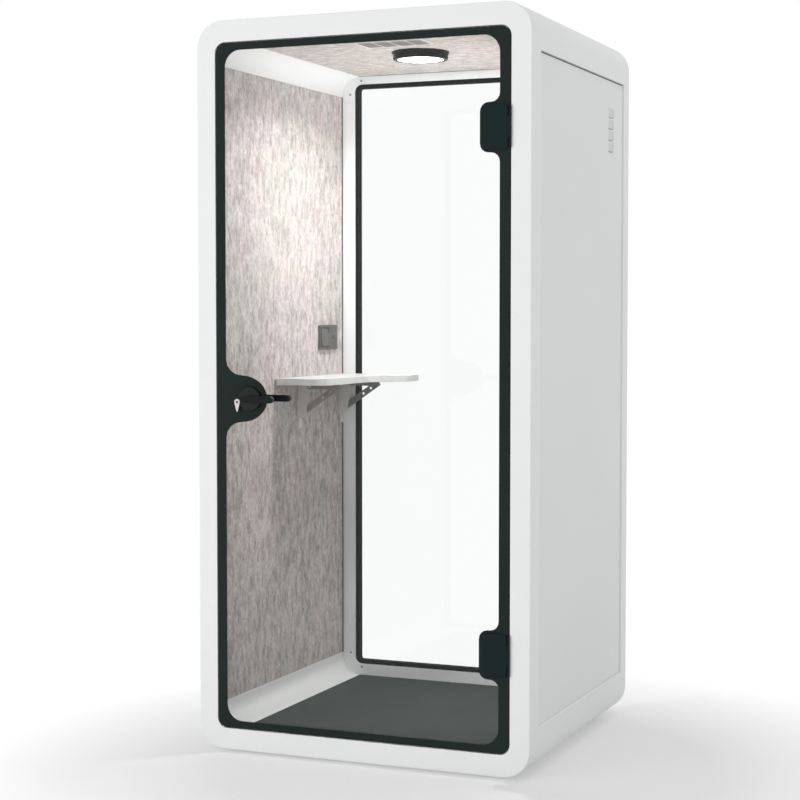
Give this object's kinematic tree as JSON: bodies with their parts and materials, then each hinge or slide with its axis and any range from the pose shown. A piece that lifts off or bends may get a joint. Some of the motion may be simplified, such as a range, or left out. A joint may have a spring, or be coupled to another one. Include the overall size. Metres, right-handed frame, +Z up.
{
  "type": "acoustic office pod",
  "caption": "Upright single-person acoustic booth with rounded white shell, glazed front door and rear window, felt walls, fold-down desk, lamp and fan.",
  "frame": {"origin": "on the floor under the middle of the pod's bounding box, which runs from the lever's tip to the rear face", "axes": "+Z up, +X to the right as seen from the door, +Y from the door towards the rear window"},
  "size_m": [1.1, 1.0926, 2.286],
  "materials": {
    "white_frame": "satin",
    "white_panel": "satin",
    "floor_board": "matte",
    "acoustic_foam": "matte",
    "wool_felt": "matte",
    "carpet": "matte",
    "clear_glass": "polished",
    "dark_border": "satin",
    "dark_metal": "satin",
    "black_metal": "satin",
    "bright_steel": "satin",
    "black_rubber": "matte",
    "desk_laminate": "satin",
    "bracket_pale": "satin",
    "bracket_grey": "satin",
    "grey_plastic": "satin",
    "dark_plastic": "satin",
    "opal_plastic": "satin"
  },
  "bodies": {
    "pod": {"front_frame": "white_frame", "rear_frame": "white_frame", "corner_rail_lower_left": "white_frame", "corner_rail_lower_right": "white_frame", "corner_rail_upper_left": "white_frame", "corner_rail_upper_right": "white_frame", "window_trim": "white_frame", "trim_corner_lower_left": "white_frame", "trim_corner_lower_right": "white_frame", "trim_corner_upper_left": "white_frame", "trim_corner_upper_right": "white_frame", "outer_panel_left": "white_panel", "outer_panel_right": "white_panel", "roof_panel": "white_panel", "floor_deck": "floor_board", "acoustic_core_left": "acoustic_foam", "acoustic_core_right": "acoustic_foam", "ceiling_core": "acoustic_foam", "wall_felt_left": "wool_felt", "wall_felt_right": "wool_felt", "ceiling_felt": "wool_felt", "floor_carpet": "carpet", "window_glass": "clear_glass", "window_bezel": "dark_metal", "hinge_leaf_lower": "black_metal", "hinge_leaf_upper": "black_metal", "hinge_pin_lower": "bright_steel", "hinge_pin_upper": "bright_steel", "strike_plate": "bright_steel", "door_seal": "black_rubber", "desk_leg_front": "bracket_pale", "desk_leg_rear": "bracket_pale", "ceiling_grille": "grey_plastic", "socket_plate": "grey_plastic", "light_pan": "dark_plastic", "fan_housing": "dark_plastic", "light_diffuser": "opal_plastic"},
    "door": {"door_glass": "clear_glass", "door_border": "dark_border", "hinge_plate_lower": "dark_metal", "hinge_plate_upper": "dark_metal", "hinge_clamp_lower": "dark_metal", "hinge_clamp_upper": "dark_metal", "outer_rose": "black_metal", "lock_case": "black_metal"},
    "lever": {"outer_lever": "black_metal", "inner_lever": "black_metal"},
    "latch": {"latch_bolt": "bright_steel"},
    "thumb_turn": {"lock_turn": "bright_steel"},
    "desk": {"desk_top": "desk_laminate", "desk_arm_front": "bracket_grey", "desk_arm_rear": "bracket_grey"},
    "struts": {"desk_strut_front": "bracket_grey", "desk_strut_rear": "bracket_grey"},
    "rocker": {"switch_rocker": "grey_plastic"},
    "rotor": {"fan_rotor": "dark_plastic"},
    "foot_1": {"foot_front_left": "black_rubber"},
    "foot_2": {"foot_front_right": "black_rubber"},
    "foot_3": {"foot_rear_left": "black_rubber"},
    "foot_4": {"foot_rear_right": "black_rubber"}
  },
  "joints": [
    {"name": "door_swing", "type": "hinge", "parent": "pod", "child": "door", "pos_m": [0.485, -0.4982, 1.146], "axis": [0, 0, 1], "range_deg": [0, 100]},
    {"name": "lever_press", "type": "hinge", "parent": "door", "child": "lever", "pos_m": [-0.367, -0.5137, 1.114], "axis": [0, 1, 0], "range_deg": [0, 45], "stiffness_Nm_per_rad": 2, "springref_deg": -20.05},
    {"name": "latch_slide", "type": "slide", "parent": "door", "child": "latch", "axis": [1, 0, 0], "range_m": [0, 0.012]},
    {"name": "lock_turning", "type": "hinge", "parent": "door", "child": "thumb_turn", "pos_m": [-0.4075, -0.5047, 1.104], "axis": [0, 1, 0], "range_deg": [0, 90]},
    {"name": "desk_fold", "type": "hinge", "parent": "pod", "child": "desk", "pos_m": [-0.445, 0.1653, 1.13], "axis": [0, 1, 0], "range_deg": [0, 90]},
    {"name": "strut_swing", "type": "hinge", "parent": "pod", "child": "struts", "pos_m": [-0.468, 0.1653, 1.045], "axis": [0, 1, 0], "range_deg": [0, 123.8]},
    {"name": "switch_rock", "type": "hinge", "parent": "pod", "child": "rocker", "pos_m": [-0.4762, 0.28655, 1.294], "axis": [0, 1, 0], "range_deg": [0, 8]},
    {"name": "fan_spin", "type": "hinge", "parent": "pod", "child": "rotor", "pos_m": [0.015, -0.2497, 2.246], "axis": [0, 0, 1], "continuous": true},
    {"name": "foot_turn_1", "type": "hinge", "parent": "pod", "child": "foot_1", "pos_m": [-0.46, -0.2937, 0.006], "axis": [0, 0, 1], "range_deg": [0, 720]},
    {"name": "foot_turn_2", "type": "hinge", "parent": "pod", "child": "foot_2", "pos_m": [0.46, -0.2937, 0.006], "axis": [0, 0, 1], "range_deg": [0, 720]},
    {"name": "foot_turn_3", "type": "hinge", "parent": "pod", "child": "foot_3", "pos_m": [-0.46, 0.3463, 0.006], "axis": [0, 0, 1], "range_deg": [0, 720]},
    {"name": "foot_turn_4", "type": "hinge", "parent": "pod", "child": "foot_4", "pos_m": [0.46, 0.3463, 0.006], "axis": [0, 0, 1], "range_deg": [0, 720]}
  ],
  "couplings": [
    {"joint": "latch_slide", "follows": "lever_press", "m_per_rad": 0.015},
    {"joint": "strut_swing", "follows": "desk_fold", "ratio": 1.3756}
  ]
}
